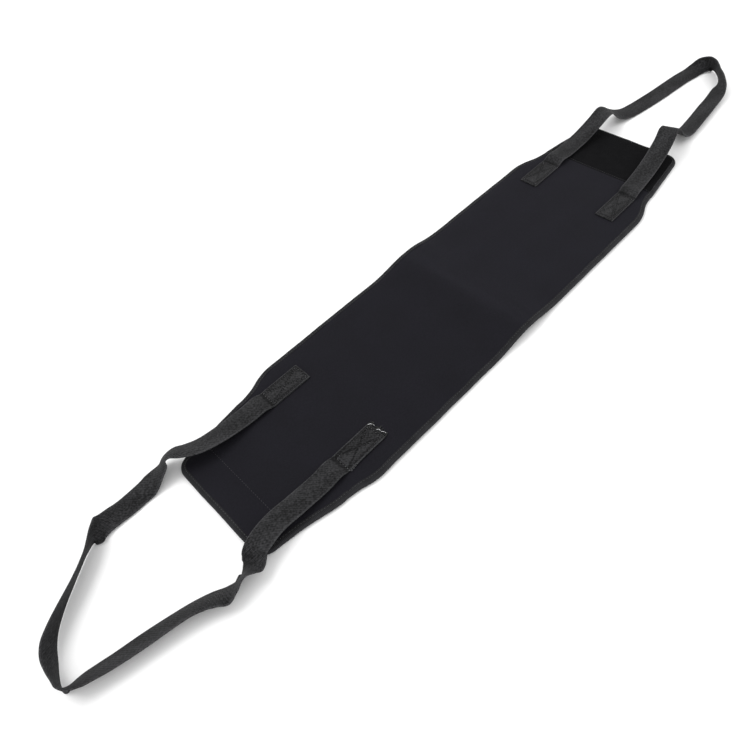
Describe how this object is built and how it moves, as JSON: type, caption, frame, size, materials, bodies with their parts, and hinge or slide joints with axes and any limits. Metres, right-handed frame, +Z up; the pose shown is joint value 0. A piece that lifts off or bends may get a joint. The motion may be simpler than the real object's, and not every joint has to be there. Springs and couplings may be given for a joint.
{
  "type": "gait belt",
  "caption": "Padded transfer and gait belt with webbing handle loops sewn to both ends, to steady or lift a person at the waist.",
  "frame": {"origin": "centre of the whole belt's footprint, loops included, on the surface it lies on", "axes": "+X along the belt towards the end with the loop pile panel; +Y across it, to the left seen from above with +X ahead; +Z up out of the outer face"},
  "size_m": [1.2344, 0.2, 0.039],
  "materials": {
    "cover_fabric": "smooth knitted nylon face, black",
    "lining_fabric": "soft knitted lining, black",
    "foam": "closed-cell foam, black",
    "binding_tape": "grosgrain binding tape, black",
    "loop_pile": "loop pile, black",
    "hook_tape": "hook tape, black",
    "webbing": "ribbed polyester webbing, black",
    "thread": "sewing thread, dark grey"
  },
  "bodies": {
    "back": {"edge_binding_back_left": "binding_tape", "edge_binding_back_right": "binding_tape", "foam_core_back": "foam", "inner_lining_back": "lining_fabric", "outer_cover_back": "cover_fabric"},
    "near_flank": {"edge_binding_near_flank_left": "binding_tape", "edge_binding_near_flank_right": "binding_tape", "foam_core_near_flank": "foam", "inner_lining_near_flank": "lining_fabric", "outer_cover_near_flank": "cover_fabric"},
    "near_end": {"box_stitching_near_left": "thread", "box_stitching_near_right": "thread", "edge_binding_near_end": "binding_tape", "foam_core_near_end": "foam", "hook_patch": "hook_tape", "hook_patch_stitching": "thread", "inner_lining_near_end": "lining_fabric", "outer_cover_near_end": "cover_fabric", "strap_end_near_left": "webbing", "strap_end_near_right": "webbing"},
    "far_flank": {"edge_binding_far_flank_left": "binding_tape", "edge_binding_far_flank_right": "binding_tape", "foam_core_far_flank": "foam", "inner_lining_far_flank": "lining_fabric", "outer_cover_far_flank": "cover_fabric"},
    "far_end": {"box_stitching_far_left": "thread", "box_stitching_far_right": "thread", "edge_binding_far_end": "binding_tape", "foam_core_far_end": "foam", "inner_lining_far_end": "lining_fabric", "loop_patch": "loop_pile", "loop_patch_stitching": "thread", "outer_cover_far_end": "cover_fabric", "strap_end_far_left": "webbing", "strap_end_far_right": "webbing"},
    "near_loop": {"near_handle_loop": "webbing"},
    "far_loop": {"far_handle_loop": "webbing"}
  },
  "joints": [
    {"name": "wrap", "type": "hinge", "parent": "back", "child": "far_flank", "pos_m": [0.05475, 0, 0], "axis": [0, 1, 0], "range_deg": [-12, 45]},
    {"name": "wrap_far_outer", "type": "hinge", "parent": "far_flank", "child": "far_end", "pos_m": [0.16475, 0, 0], "axis": [0, 1, 0], "range_deg": [-12, 45]},
    {"name": "wrap_near_inner", "type": "hinge", "parent": "back", "child": "near_flank", "pos_m": [-0.10525, 0, 0], "axis": [0, -1, 0], "range_deg": [-12, 45]},
    {"name": "wrap_near_outer", "type": "hinge", "parent": "near_flank", "child": "near_end", "pos_m": [-0.21525, 0, 0], "axis": [0, -1, 0], "range_deg": [-12, 45]},
    {"name": "near_handle_lift", "type": "hinge", "parent": "near_end", "child": "near_loop", "pos_m": [-0.30125, 0, 0.0084], "axis": [0, 1, 0], "range_deg": [0, 100]},
    {"name": "far_handle_lift", "type": "hinge", "parent": "far_end", "child": "far_loop", "pos_m": [0.25075, 0, 0.0084], "axis": [0, -1, 0], "range_deg": [0, 100]}
  ],
  "couplings": [
    {"joint": "wrap_far_outer", "follows": "wrap", "ratio": 1},
    {"joint": "wrap_near_inner", "follows": "wrap", "ratio": 1},
    {"joint": "wrap_near_outer", "follows": "wrap", "ratio": 1}
  ]
}
